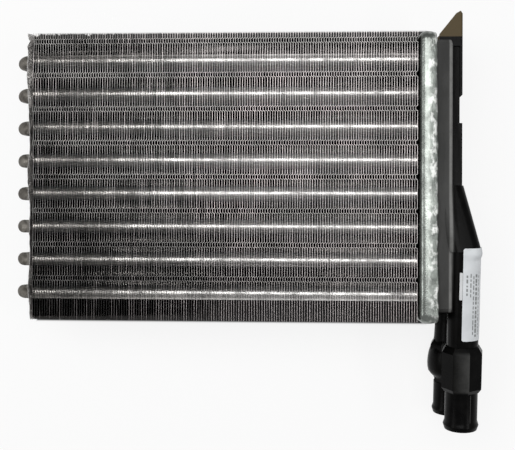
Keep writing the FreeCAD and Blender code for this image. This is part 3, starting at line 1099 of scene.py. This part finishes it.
@dataclass
class EndFin:
    """Outermost fin, bent in a wave and crumpled at its top front corner."""

    metal: BareSheetMetal
    place: float = -212.5
    thickness: float = 0.25
    bends: tuple[float, ...] = (-0.5, -1.2, -0.1, 0.5, -0.5, 0.8, 0.7, 0.0, 1.2)
    hole_gap: float = 0.35
    hole_sides: int = 24
    height_steps: int = 110
    depth_steps: int = 10
    even_to: float = 15.0
    front_columns: tuple[float, ...] = (16.6, 17.7, 18.6, 19.3, 19.9, 20.45, CORE_FACE)
    flare: float = 1.5
    front_from: float = 17.2
    front_depth: float = 3.6
    front_curve: float = 1.3
    rear_wave: float = 0.25
    seed: int = 21
    corner: Dent = Dent(-212.5, 73.2, 1.0, 1.6, 1.1)
    crumples: tuple[Crumple, ...] = (
        Crumple(0.22, 0.5, (7, 8), (-CORE_FACE - 2, -CORE_FACE - 1)),
        Crumple(0.45, 3.5, (3.4, 3), (14, 18.5)),
        Crumple(0.25, 7.5, (1.6, 1.4), (17, 19.5)),
    )

    def bend(self, height: np.ndarray) -> np.ndarray:
        """Sideways wave by height, eased between even steps.

        Args:
            height: Heights on the fin.

        Returns:
            Movement along the tubes.
        """
        step = (CORE_TOP - CORE_FOOT) / (len(self.bends) - 1)
        where = np.clip((CORE_TOP - height) / step, 0, len(self.bends) - 1.0001)
        low = np.floor(where).astype(int)
        share = eased(where - low)
        values = np.array(self.bends)
        return values[low] * (1 - share) + values[low + 1] * share

    def shift(self, height: np.ndarray, depth: np.ndarray) -> np.ndarray:
        """Sideways movement of the fin.

        Args:
            height: Heights of its points.
            depth: Depths of its points.

        Returns:
            Movement along the tubes.
        """
        noise = SmoothNoise(self.seed)
        front = np.clip((depth - self.front_from) / self.front_depth, 0, 1) ** self.front_curve
        wave = self.bend(height) * (self.rear_wave + (1 - self.rear_wave) * front)
        total = wave + self.flare * (1 - front)
        for crumple in self.crumples:
            uneven = crumple.push * noise.over(crumple.layer, height, depth, crumple.sizes)
            total = total + uneven * smooth_step(depth, *crumple.fades_in)
        return total + self.corner.at(self.place, height) * front

    def build(self) -> Pieces:
        """Builds the fin.

        Returns:
            Its pieces.
        """
        lines = even_places(CORE_FOOT, CORE_TOP, self.height_steps)
        columns = even_places(-CORE_FACE, self.even_to, self.depth_steps)
        columns += self.front_columns
        outline = rectangle_outline(lines, columns)
        hole_radius = TUBE_RADIUS + self.hole_gap
        sheet = HoledSheet(outline, hole_radius, self.hole_sides, lines[1:-1], columns[1:-1])
        height, depth = sheet.points.T
        shift = self.shift(height, depth)
        sides = (self.place, self.place + self.thickness)
        points = np.vstack([np.column_stack((side + shift, height, depth)) for side in sides])
        piece = make_piece(
            "end_fin_sheet", points, sheet.thick_faces(), self.metal.material(),
            ["end_fin"], sharp_angle=40, fix_normals=False,
        )
        return [piece]


@dataclass
class HairpinTubes:
    """Eight hairpin tubes, each two legs joined by a half-circle bend."""

    metal: DrawnTube
    bend_middle: float = -213.6
    leg_end: float = 5.0
    bend_radius: float = 7.5
    sides: int = 32
    bend_steps: int = 20
    wall: float = 0.45
    flattening: float = 0.035
    unevenness: float = 0.07
    uneven_steps: tuple[float, float, float] = (3, 0.8, 1.3)
    seed: int = 31

    def path(self) -> list[tuple[float, float, float]]:
        """Middle line of a tube.

        Returns:
            Place along the tubes, depth and heading angle of each ring.
        """
        stations = [(self.leg_end, self.bend_radius, math.pi)]
        for step in range(self.bend_steps + 1):
            turn = math.pi * step / self.bend_steps
            along = self.bend_middle - self.bend_radius * math.sin(turn)
            stations.append((along, self.bend_radius * math.cos(turn), math.pi + turn))
        stations.append((self.leg_end, -self.bend_radius, 2 * math.pi))
        return stations

    def rings(self, row: int, height: float, noise: SmoothNoise) -> list[np.ndarray]:
        """Rings of one tube, those of its outside and then those of its bore.

        Args:
            row: Number of the tube row, from the top.
            height: Height of the row.
            noise: Field that makes the bends uneven.

        Returns:
            The points of each ring.
        """
        around = np.arange(self.sides) * 2 * math.pi / self.sides
        stations = self.path()
        by_row, by_ring, by_turn = self.uneven_steps
        rings = []
        for radius in (TUBE_RADIUS, TUBE_RADIUS - self.wall):
            for index, (along, depth, heading) in enumerate(stations):
                at_end = index in (0, len(stations) - 1)
                on_bend = 0.0 if at_end else math.sin(max(0.0, heading - math.pi))
                uneven = noise.at(row * by_row + 0.5, index * by_ring, around * by_turn)
                ring_radius = radius + self.unevenness * on_bend * uneven
                side = ring_radius * np.cos(around) * (1 - self.flattening * on_bend)
                rings.append(np.column_stack((
                    along - side * math.sin(heading),
                    height + ring_radius * np.sin(around),
                    depth - side * math.cos(heading),
                )))
        return rings

    def build(self) -> Pieces:
        """Builds the tubes.

        Returns:
            Its pieces.
        """
        material = self.metal.material()
        noise = SmoothNoise(self.seed)
        count = len(self.path())
        faces = []
        for first in (*range(count - 1), *range(count, 2 * count - 1)):
            faces += ring_faces(first * self.sides, (first + 1) * self.sides, self.sides)
        for ring in (0, count - 1):
            faces += ring_faces(ring * self.sides, (ring + count) * self.sides, self.sides)
        pieces = []
        for row, height in enumerate(ROW_HEIGHTS):
            points = np.vstack(self.rings(row, height, noise))
            pieces.append(make_piece(
                f"hairpin_{row + 1}", points, faces, material,
                [f"hairpin_tube_{row + 1}"], sharp_angle=40,
            ))
        return pieces


@dataclass
class HeaderPan:
    """Header plate: a folded pan whose rim is crimped over the tank's foot in a ragged wave."""

    metal: PressedHeader
    top: float = 78.35
    foot: float = -79.75
    face: float = 23.3
    corner: float = 5.2
    sheet: float = 1.2
    bend: float = 4.5
    bend_steps: int = 6
    wall_shares: tuple[float, ...] = (0.35, 0.7, 1.0)
    roll: float = 1.3
    roll_steps: int = 4
    reach: float = 10.3
    reach_limit: float = 11.0
    reach_taper: float = 0.0075
    wall_curve: float = 0.75
    lip: float = 3.2
    lip_edge: tuple[Pair, ...] = ((0.8, 0.12), (1.0, 0.35), (1.0, 1.15))
    under_lip: float = 0.1
    under_roll: float = 0.3
    fall: float = 0.35
    press: float = 0.35
    press_size: float = 4.5
    wave_sizes: tuple[float, float, float] = (8, 3.2, 1.6)
    reach_waves: tuple[float, float, float] = (0.45, 0.25, 0.12)
    lip_waves: Pair = (0.5, 0.25)
    seed: int = 41
    hole_gap: float = 0.05
    hole_sides: int = 28
    perimeter_points: int = 420

    def perimeter(self, inset: np.ndarray) -> np.ndarray:
        """Rounded outline, moved in by a distance at each of its points.

        Args:
            inset: Distance for each point.

        Returns:
            Height and depth of each point.
        """
        half_height = (self.top - self.foot) / 2 - self.corner
        half_depth = self.face - self.corner
        arc = self.corner * math.pi / 2
        runs = [2 * half_depth, arc, 2 * half_height, arc] * 2
        starts = np.concatenate(([0], np.cumsum(runs)))
        places = np.arange(self.perimeter_points) / self.perimeter_points * sum(runs)
        quarters = ((1, 1), (-1, 1), (-1, -1), (1, -1))
        corners = [np.array((half_height * up, half_depth * out)) for up, out in quarters]
        bases = []
        normals = []
        for place in places:
            run = int(np.searchsorted(starts, place, side="right") - 1)
            share = (place - starts[run]) / runs[run]
            quarter, in_corner = divmod(run, 2)
            before, after = corners[quarter - 1], corners[quarter]
            bases.append(after if in_corner else before + (after - before) * share)
            angle = math.pi / 2 * (1 - quarter - share * in_corner)
            normals.append((math.sin(angle), math.cos(angle)))
        outline = np.array(bases) + np.array(normals) * (self.corner - inset)[:, None]
        outline[:, 0] += (self.top + self.foot) / 2
        return outline

    def profile(self) -> list[tuple[np.ndarray, np.ndarray]]:
        """Section of the rim, from the outside of the bend over the crimped lip to the inside.

        Returns:
            For each ring, how far in it lies and how far along the tubes, at each perimeter point.
        """
        level = np.zeros(self.perimeter_points)
        height, depth = self.perimeter(level).T
        noise = SmoothNoise(self.seed)
        waves = [
            noise.over(layer, height, depth, (size, size))
            for layer, size in zip((0.5, 5.5, 9.5), self.wave_sizes)
        ]
        reach = self.reach - self.reach_taper * height
        reach = reach + sum(push * wave for push, wave in zip(self.reach_waves, waves))
        reach = np.minimum(reach, self.reach_limit)
        lip = self.lip + sum(push * wave for push, wave in zip(self.lip_waves, waves[1:]))
        pressed = noise.over(14.5, height, depth, (self.press_size, self.press_size))
        press = self.fall + self.press * (0.5 + 0.5 * pressed)
        turns = [math.pi / 2 * step / self.bend_steps for step in range(self.bend_steps + 1)]
        rings = [
            (self.bend * (1 - math.sin(turn)) + level, self.bend * (1 - math.cos(turn)) + level)
            for turn in turns
        ]
        wall_end = reach - self.roll
        for share in self.wall_shares:
            lean = press * ((1 - self.wall_curve) * share + self.wall_curve * share ** 2)
            rings.append((lean, self.bend + (wall_end - self.bend) * share))
        for step in range(1, self.roll_steps + 1):
            turn = math.pi / 2 * step / self.roll_steps
            inset = press + self.roll * (1 - math.cos(turn))
            rings.append((inset, wall_end + self.roll * math.sin(turn)))
        rings += [(press + lip * share, reach - back) for share, back in self.lip_edge]
        rings.append((press + self.roll + self.under_lip, reach - self.sheet))
        rings.append((press + self.sheet, wall_end - self.under_roll))
        inner = self.bend - self.sheet
        for turn in reversed(turns):
            inset = self.sheet + inner * (1 - math.sin(turn))
            rings.append((inset + level, self.sheet + inner * (1 - math.cos(turn)) + level))
        return rings

    def build(self) -> Pieces:
        """Builds the pan.

        Returns:
            Its pieces.
        """
        count = self.perimeter_points
        rings = self.profile()
        columns = [np.column_stack((along, self.perimeter(inset))) for inset, along in rings]
        faces = []
        for ring in range(len(rings) - 1):
            faces += ring_faces(ring * count, (ring + 1) * count, count)
        floor = HoledSheet(columns[0][:, 1:], TUBE_RADIUS + self.hole_gap, self.hole_sides)
        order_on_rim = {place: order for order, place in enumerate(floor.loops[0])}
        inner = [index for index in range(len(floor.points)) if index not in order_on_rim]
        layers = []
        for layer, ring in enumerate((0, len(rings) - 1)):
            start = len(rings) * count + layer * len(inner)
            number = {index: ring * count + order for index, order in order_on_rim.items()}
            number.update({index: start + order for order, index in enumerate(inner)})
            faces += [[number[index] for index in face] for face in floor.triangles]
            layers.append(number)
        for loop in floor.loops[1:]:
            faces += loop_faces(*([number[index] for index in loop] for number in layers))
        for along in (0.0, self.sheet):
            columns.append(np.column_stack((np.full(len(inner), along), floor.points[inner])))
        piece = make_piece(
            "header_pan", np.vstack(columns), faces, self.metal.material(),
            ["header_plate"], sharp_angle=40,
        )
        return [piece]


@dataclass
class Gasket:
    """Rubber gasket under the tank's foot: the CAD shape as it is, with its finish."""

    rubber: MattRubber
    node: str = "tank_gasket"

    def build(self) -> Pieces:
        """Gives the CAD node the rubber.

        Returns:
            Its pieces.
        """
        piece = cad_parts[self.node]
        material = self.rubber.material()
        if not piece.material_slots:
            piece.data.materials.append(material)
        for slot in piece.material_slots:
            slot.link = "OBJECT"
            slot.material = material
        return [piece]


@dataclass
class DuctAxis:
    """Middle line of one duct, which leans a little backwards."""

    side: Side
    start: tuple[float, float, float]
    lean: float = 7.0

    def __post_init__(self) -> None:
        """Works out the ways down the duct, out of its front and out of the core's end."""
        lean = math.radians(self.lean)
        self.down = np.array((0, -math.cos(lean), -math.sin(lean)))
        self.front = np.array((0, -math.sin(lean), math.cos(lean)))
        self.outward = np.array((1.0, 0, 0))

    def point(self, along: np.ndarray, radius: np.ndarray, angle: np.ndarray) -> np.ndarray:
        """Places around the duct.

        Args:
            along: Distance down the duct from its start.
            radius: Distance from its middle line.
            angle: Angle in degrees from the front towards the end face.

        Returns:
            One drawing point a row.
        """
        along, radius, angle = np.broadcast_arrays(along, radius, np.radians(angle))
        way = np.sin(angle)[..., None] * self.outward + np.cos(angle)[..., None] * self.front
        return np.array(self.start) + along[..., None] * self.down + radius[..., None] * way

    def measured(self, place: np.ndarray) -> tuple[float, float]:
        """Measures a point against the duct.

        Args:
            place: The point, in drawing millimetres.

        Returns:
            Its distance down the duct and from the duct's middle line.
        """
        offset = place - np.array(self.start)
        along = float(offset @ self.down)
        return along, float(np.linalg.norm(offset - along * self.down))

    def drawn_in(self, place: np.ndarray, along: float, share: float) -> Vector:
        """Moves a point to a share of its distance from the middle line, in the shared frame."""
        middle = self.point(np.array(along), np.array(0.0), np.array(0.0))
        return Vector(placed(middle + (place - middle) * share))


FRONT_DUCT = DuctAxis(Side.FRONT, (25.45, -39.4, 16.0))
REAR_DUCT = DuctAxis(Side.REAR, (23.6, -39.4, -16.0))


@dataclass
class EndTank:
    """Moulded end tank: its CAD shape with softened edges, a rounded boss and parting lines."""

    plastic: MouldedNylon
    weld: float = 2e-6
    flat_angle: float = 0.6
    edge_radius: float = 0.3
    edge_angle: float = 32.0
    foot_top: float = 9.8
    foot_reach: float = 2e-5
    foot_drop: float = 1.4
    foot_half_depth: float = 19.6
    foot_half_height: float = 74.2
    flare_zone: tuple[Limits, ...] = ((0.0, 3.2), (8.6, 11.5))
    flare_drop: float = 0.35
    collar_zone: tuple[Limits, ...] = ((75.0, 79.0), (9.0, 12.0))
    collar_inner: float = 9.0
    boss_sides: int = 48
    boss_profile: tuple[Pair, ...] = (
        (40.0, 8.3), (45.0, 8.75), (52.0, 9.1), (54.5, 9.5), (56.5, 10.2), (59.0, 11.4),
        (61.0, 12.0), (64.0, 12.5), (67.0, 12.7), (70.0, 12.55), (72.0, 12.1), (73.6, 10.9),
        (74.7, 9.8), (75.4, 9.1), (76.0, 8.7),
    )
    spigot_radius: float = 8.9
    line_half_width: float = 0.22
    line_stations: int = 9
    line_profile: tuple[Pair, ...] = (
        (-1.0, -0.15), (-0.6, 0.1), (0.0, 0.16), (0.6, 0.1), (1.0, -0.15),
    )
    parting_lines: tuple[tuple[DuctAxis, float, Limits], ...] = (
        (FRONT_DUCT, 24.5, (79.0, 94.5)),
        (REAR_DUCT, 204.5, (79.0, 91.5)),
    )

    def moulding(self, material: bpy.types.Material) -> bpy.types.Object:
        """Copies the tank's shape, rounds its sharp edges and lowers the crimped foot.

        Args:
            material: The plastic.

        Returns:
            The moulding.
        """
        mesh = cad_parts["end_tank"].data.copy()
        mesh.materials.clear()
        work = bmesh.new()
        work.from_mesh(mesh)
        bmesh.ops.remove_doubles(work, verts=work.verts[:], dist=self.weld)
        flat = math.radians(self.flat_angle)
        bmesh.ops.dissolve_limit(work, angle_limit=flat, verts=work.verts[:], edges=work.edges[:])
        for point in work.verts:
            self.lower_foot(point)
            self.draw_in(point)
        work.to_mesh(mesh)
        work.free()
        piece = declare("tank_moulding", mesh, material, ["end_tank"], sharp_angle=30)
        bevel = piece.modifiers.new("edge rounding", "BEVEL")
        bevel.width = self.edge_radius * METRES
        bevel.segments = 2
        bevel.limit_method = "ANGLE"
        bevel.angle_limit = math.radians(self.edge_angle)
        bevel.harden_normals = True
        return piece

    def lower_foot(self, point: bmesh.types.BMVert) -> None:
        """Lowers a point on the top of the foot's rim, which the crimp covers.

        Args:
            point: A point of the tank.
        """
        _, height, depth = np.array(point.co) / METRES - DRAWING_TO_FRAME
        on_rim = abs(depth) > self.foot_half_depth or abs(height) > self.foot_half_height
        if on_rim and abs(point.co.x - along_frame(self.foot_top)) < self.foot_reach:
            point.co.x -= self.foot_drop * METRES

    def draw_in(self, point: bmesh.types.BMVert) -> None:
        """Draws in the flare's foot, for the label, and the collar's end that the boss hides.

        Args:
            point: A point of the tank.
        """
        place = np.array(point.co) / METRES - DRAWING_TO_FRAME
        along, radius = FRONT_DUCT.measured(place)
        if in_zone(along, radius, self.flare_zone) and place[2] > FRONT_DUCT.start[2]:
            point.co = FRONT_DUCT.drawn_in(place, along, 1 - self.flare_drop / radius)
        along, radius = REAR_DUCT.measured(place)
        if in_zone(along, radius, self.collar_zone):
            point.co = REAR_DUCT.drawn_in(place, along, self.collar_inner / radius)

    def boss(self, material: bpy.types.Material) -> bpy.types.Object:
        """Adds the barrel-shaped boss around the rear collar.

        Args:
            material: The plastic.

        Returns:
            The boss.
        """
        sides = self.boss_sides
        turns = np.arange(sides) * 360 / sides
        rings = [
            REAR_DUCT.point(np.full(sides, along), np.full(sides, radius), turns)
            for along, radius in self.boss_profile
        ]
        faces = tube_faces(len(self.boss_profile), sides)
        return make_piece("rear_boss", np.vstack(rings), faces, material)

    def parting_line(
        self, duct: DuctAxis, angle: float, ends: Limits, material: bpy.types.Material
    ) -> bpy.types.Object:
        """Adds a parting line, a low ridge along a spigot.

        Args:
            duct: The duct that it runs along.
            angle: Where it sits around the duct.
            ends: Where it starts and ends along the duct.
            material: The plastic.

        Returns:
            The ridge.
        """
        half = math.degrees(self.line_half_width / self.spigot_radius)
        turns, lifts = np.array(self.line_profile).T
        rings = [
            duct.point(np.array(station), self.spigot_radius + lifts, angle + half * turns)
            for station in np.linspace(*ends, self.line_stations)
        ]
        faces = tube_faces(self.line_stations, len(self.line_profile))
        name = f"{duct.side.name.lower()}_parting_line"
        return make_piece(name, np.vstack(rings), faces, material)

    def build(self) -> Pieces:
        """Builds the moulding and its details.

        Returns:
            Its pieces.
        """
        material = self.plastic.material()
        pieces = [self.moulding(material), self.boss(material)]
        # the parting lines get a lighter nylon, a painted highlight along the spigots
        shade = self.plastic.dust_and_sheen
        rubbed = replace(self.plastic, name="parting_line_highlight_nylon", black=shade, rubbed=shade, warm=shade)
        highlight_material = rubbed.material()
        for duct, angle, ends in self.parting_lines:
            pieces.append(self.parting_line(duct, angle, ends, highlight_material))
        return pieces


def in_zone(along: float, radius: float, zone: Sequence[Limits]) -> bool:
    """Says whether a place on a duct lies between the limits along it and from its middle line."""
    return all(low < value < high for value, (low, high) in zip((along, radius), zone))


def printed_bars() -> tuple[tuple[float, float, float, float], ...]:
    """Short plain bars in columns along the label, in place of print.

    Returns:
        Limits of each bar along and across the label, as shares of its size.
    """
    draw = np.random.default_rng(71)
    columns = (
        (0.29, 0.5, 0.14, 0.19), (0.27, 0.52, 0.29, 0.34), (0.3, 0.95, 0.41, 0.46),
        (0.28, 0.95, 0.53, 0.62), (0.3, 0.94, 0.69, 0.74),
    )
    bar_lengths = (0.018, 0.05)
    gap_lengths = (0.012, 0.02)
    bars = []
    for start, end, left, right in columns:
        place = start
        while place < end:
            length = draw.uniform(*bar_lengths)
            bars.append((place, min(place + length, end), left, right))
            place += length + draw.uniform(*gap_lengths)
    return tuple(bars)


@dataclass
class PaperPatch:
    """Paper wrapped around the front duct, slightly proud at its corners."""

    paper: PlainPaper
    name: str
    node: str
    ends: Limits
    angles: Limits
    corner: float
    bars: tuple[tuple[float, float, float, float], ...] = ()
    rows: int = 121
    columns: int = 65
    thickness: float = 0.12
    duct_radius: float = 8.5
    lift: float = 0.05
    edge_lift: float = 0.12
    edge_power: int = 6
    edge_size: float = 6
    uneven_lift: float = 0.05
    uneven_sizes: Pair = (9, 5)
    seed: int = 51
    flare_half: float = 8.6
    flare_round: float = 5.3
    flare_end: float = 1.5
    flare_fall: float = 0.2
    flare_gap: float = 0.16
    flare_fade: Limits = (1.7, 5.5)
    solve_steps: int = 12
    solve_rate: float = 0.9

    def over_flare(self, along: float, angle: np.ndarray) -> np.ndarray:
        """Extra height where the paper lies over the flare's foot, a square with round corners.

        Args:
            along: Distance down the duct.
            angle: Angles around the duct, in degrees.

        Returns:
            Extra distance from the duct's middle line.
        """
        turn = np.radians(angle)
        ways = np.abs(np.column_stack((np.sin(turn), np.cos(turn))))
        flat_half = self.flare_half - self.flare_round
        reach = np.full(len(turn), self.flare_half)
        for _ in range(self.solve_steps):
            over = np.maximum(ways * reach[:, None] - flat_half, 0)
            off = np.hypot(over[:, 0], over[:, 1]) - self.flare_round
            reach = reach - off * self.solve_rate
        fall = self.flare_fall * max(self.flare_end - along, 0.0)
        extra = np.maximum(reach - self.duct_radius + self.flare_gap - fall, 0)
        return extra * (1 - smooth_step(along, *self.flare_fade))

    def surface(self, layer: float, share: float, noise: SmoothNoise) -> np.ndarray:
        """One row of points across the paper.

        Args:
            layer: Height in the paper's thickness.
            share: Where the row lies along the paper, from 0 to 1.
            noise: Field that lifts the paper unevenly.

        Returns:
            The row's points.
        """
        length = self.ends[1] - self.ends[0]
        width = math.radians(self.angles[1] - self.angles[0]) * self.duct_radius
        along = (share - 0.5) * length
        past_corner = max(0.0, abs(along) - (length / 2 - self.corner))
        round_off = math.sqrt(max(0.0, self.corner ** 2 - past_corner ** 2))
        limit = width / 2 - self.corner + round_off
        across = np.clip((np.linspace(0, 1, self.columns) - 0.5) * width, -limit, limit)
        angle = sum(self.angles) / 2 + np.degrees(across / self.duct_radius)
        edge = np.clip(np.abs(across) / (width / 2), 0, 1) ** self.edge_power
        down = self.ends[0] + share * length
        curl = 0.6 + 0.4 * noise.at(0.5, along / self.edge_size + FIELD_MIDDLE, 0.5)
        lift = self.lift + self.edge_lift * edge * curl
        lift = lift + self.uneven_lift * (1 + noise.over(2.5, along, across, self.uneven_sizes))
        lift = lift + self.over_flare(down, angle)
        return FRONT_DUCT.point(np.full(self.columns, down), self.duct_radius + lift + layer, angle)

    def faces(self) -> list[list[int]]:
        """Faces of the paper's two sides and its rim.

        Returns:
            Corner numbers of each face.
        """
        rows, columns = self.rows, self.columns
        top = rows * columns
        faces = []
        for row in range(rows - 1):
            for column in range(columns - 1):
                corner = row * columns + column
                quad = [corner, corner + 1, corner + columns + 1, corner + columns]
                faces.append(list(reversed(quad)))
                faces.append([index + top for index in quad])
        rim = list(range(columns))
        rim += [row * columns + columns - 1 for row in range(1, rows)]
        rim += [(rows - 1) * columns + column for column in reversed(range(columns - 1))]
        rim += [row * columns for row in reversed(range(1, rows - 1))]
        return faces + loop_faces(rim, [index + top for index in rim])

    def build(self) -> Pieces:
        """Builds the patch.

        Returns:
            Its pieces.
        """
        noise = SmoothNoise(self.seed)
        alongs = np.linspace(0, 1, self.rows)
        arounds = np.linspace(0, 1, self.columns)
        layers = (0.0, self.thickness)
        rows = [self.surface(layer, share, noise) for layer in layers for share in alongs]
        piece = make_piece(
            self.name, np.vstack(rows), self.faces(), self.paper.material(),
            [self.node], sharp_angle=50,
        )
        barred = [float(self.in_bar(share, around)) for share in alongs for around in arounds]
        store(piece, PRINT_LAYER, barred * len(layers))
        return [piece]

    def in_bar(self, along: float, across: float) -> bool:
        """Says whether a place, given in shares of the paper's size, lies in a bar."""
        return any(
            low <= along <= high and left <= across <= right
            for low, high, left, right in self.bars
        )


@dataclass(frozen=True)
class Lamp:
    """Soft lamp, a rectangle that shines down: metres, watts and degrees."""

    name: str
    place: tuple[float, float, float]
    size: Pair
    power: float
    turn: float = 0.0
    aside: float = 0.0

    def build(self) -> None:
        """Adds the lamp to the scene."""
        data = bpy.data.lights.new(self.name, "AREA")
        data.shape = "RECTANGLE"
        data.size, data.size_y = self.size
        data.energy = self.power
        lamp = bpy.data.objects.new(self.name, data)
        lamp.location = self.place
        lamp.rotation_euler = (0.0, math.radians(self.aside), math.radians(self.turn))
        bpy.context.scene.collection.objects.link(lamp)


@dataclass
class Studio:
    """Camera, floor, lamps and surroundings."""

    camera_place: tuple[float, float, float] = (-61.12, -28.69, 522.94)
    camera_turn: tuple[float, float, float] = (-0.22677, -2.89707, -0.19780)
    focal_pixels: float = 928.0
    image_width: float = 515.0
    sensor: float = 36.0
    clip: Limits = (0.01, 50)
    floor_half: float = 3.0
    floor: StudioFloor = StudioFloor()
    lamps: tuple[Lamp, ...] = (
        Lamp("key", (-0.13, 0.3, 1.15), (1.05, 0.6), 9.0, turn=-19.0),
        Lamp("left", (-1.05, 0.05, 0.75), (0.3, 0.8), 2.4, aside=-55.0),
        Lamp("right", (0.86, -0.12, 0.9), (0.14, 0.4), 1.8, aside=42.0),
    )
    world_light: float = 0.24
    world_in_mirrors: float = 0.45

    def add_camera(self) -> None:
        """Sets the camera where the photograph was taken from."""
        data = bpy.data.cameras.new("camera")
        data.sensor_width = self.sensor
        data.lens = self.focal_pixels / self.image_width * self.sensor
        data.clip_start, data.clip_end = self.clip
        camera = bpy.data.objects.new("camera", data)
        pitch, yaw, roll = (math.radians(value) for value in self.camera_turn)
        turn = Matrix.Rotation(roll, 3, "Z") @ Matrix.Rotation(yaw, 3, "Y")
        turn = turn @ Matrix.Rotation(pitch, 3, "X")
        place = Matrix.Translation(Vector(placed(self.camera_place)))
        camera.matrix_world = place @ turn.transposed().to_4x4()
        bpy.context.scene.collection.objects.link(camera)
        bpy.context.scene.camera = camera

    def add_floor(self) -> None:
        """Adds the floor that the core lies on."""
        half = self.floor_half
        corners = [(-half, -half, 0), (half, -half, 0), (half, half, 0), (-half, half, 0)]
        mesh = bpy.data.meshes.new("floor")
        mesh.from_pydata(corners, [], [(0, 1, 2, 3)])
        mesh.materials.append(self.floor.material())
        floor = bpy.data.objects.new("floor", mesh)
        bpy.context.scene.collection.objects.link(floor)

    def add_world(self) -> None:
        """Lights the core evenly from all round, a little more brightly where it mirrors."""
        world = bpy.data.worlds.new("studio")
        world.use_nodes = True
        tree = world.node_tree
        back = tree.nodes["Background"]
        back.inputs[0].default_value = (1, 1, 1, 1)
        path = tree.nodes.new("ShaderNodeLightPath")
        level = tree.nodes.new("ShaderNodeMapRange")
        level.inputs["To Min"].default_value = self.world_light
        level.inputs["To Max"].default_value = self.world_in_mirrors
        tree.links.new(path.outputs["Is Glossy Ray"], level.inputs["Value"])
        tree.links.new(level.outputs["Result"], back.inputs[1])
        bpy.context.scene.world = world

    def build(self) -> None:
        """Builds the studio."""
        self.add_camera()
        self.add_floor()
        for lamp in self.lamps:
            lamp.build()
        self.add_world()
        bpy.context.scene.view_settings.view_transform = "Standard"


FIN_SHEET = BareSheetMetal(
    name="fin_sheet",
    slot="fin_aluminium",
    light=(0.95, 0.93, 0.915),
    dark=(0.3, 0.292, 0.284),
    # the fins' cut edges are painted near black, a painted shade for the dark gaps between the tube
    # rows
    edge=(0.04, 0.039, 0.038),
    roughness=(0.01, 0.08),
    waves=0.000001,
    rubbed=(0.2, 0.196, 0.19),
)
END_FIN_SHEET = BareSheetMetal(
    name="end_fin_sheet_metal",
    slot="end_fin_aluminium",
    light=(0.9, 0.89, 0.88),
    dark=(0.3, 0.29, 0.28),
    edge=(0.62, 0.62, 0.61),
    roughness=(0.31, 0.38),
    waves=0.0012,
)
TUBE_METAL = DrawnTube(
    name="drawn_tube",
    slot="tube_aluminium",
    bright=(0.95, 0.95, 0.93),
    dull=(0.19, 0.178, 0.16),
    stain=(0.085, 0.077, 0.068),
    change_at=-211.5,
)
HEADER_METAL = PressedHeader(
    name="pressed_header",
    slot="header_aluminium",
    sheet=(0.27, 0.29, 0.27),
    stain=(0.105, 0.113, 0.105),
    scuff=(0.66, 0.67, 0.65),
    scuffs_between=(4.5, 8.0),
)
GASKET_RUBBER = MattRubber(
    name="gasket_rubber_matt",
    slot="gasket_rubber",
    black=(0.012, 0.012, 0.012),
    bloom=(0.03, 0.03, 0.03),
)
TANK_NYLON = MouldedNylon(
    name="tank_nylon",
    slot="tank_plastic",
    black=(0.001, 0.001, 0.001),
    rubbed=(0.003, 0.0029, 0.0028),
    warm=(0.004, 0.0035, 0.003),
    # the three colours below: dust with a painted sheen, a painted warm reflection, a painted edge
    # highlight
    dust_and_sheen=(0.052, 0.052, 0.0505),
    warm_reflection=(0.088, 0.066, 0.035),
    edge_highlight=(0.2, 0.2, 0.194),
)
LABEL_PAPER = PlainPaper(
    name="label_sheet",
    slot="label_paper",
    paper=(0.72, 0.745, 0.765),
    shade=(0.63, 0.655, 0.675),
    bar=(0.22, 0.23, 0.23),
)
TAG_PAPER = PlainPaper(
    name="tag_sheet",
    slot="tag_paper",
    paper=(0.7, 0.71, 0.72),
    shade=(0.6, 0.61, 0.62),
)


def main() -> None:
    """Builds every sub-assembly in order."""
    logging.basicConfig(level=logging.INFO, format="%(name)s: %(message)s")
    bars = printed_bars()
    for assembly in (
        FinPack(FIN_SHEET),
        EndFin(END_FIN_SHEET),
        HairpinTubes(TUBE_METAL),
        HeaderPan(HEADER_METAL),
        Gasket(GASKET_RUBBER),
        EndTank(TANK_NYLON),
        PaperPatch(LABEL_PAPER, "label", "duct_label", (-1.6, 49.0), (-13.0, 78.0), 0.9, bars),
        PaperPatch(TAG_PAPER, "tag", "small_tag", (11.5, 26.5), (-24.0, -13.8), 0.5),
    ):
        for piece in assembly.build():
            LOG.info("%s: %d faces", piece.name, len(piece.data.polygons))
    Studio().build()
    LOG.info("studio built")


if __name__ == "__main__":
    main()
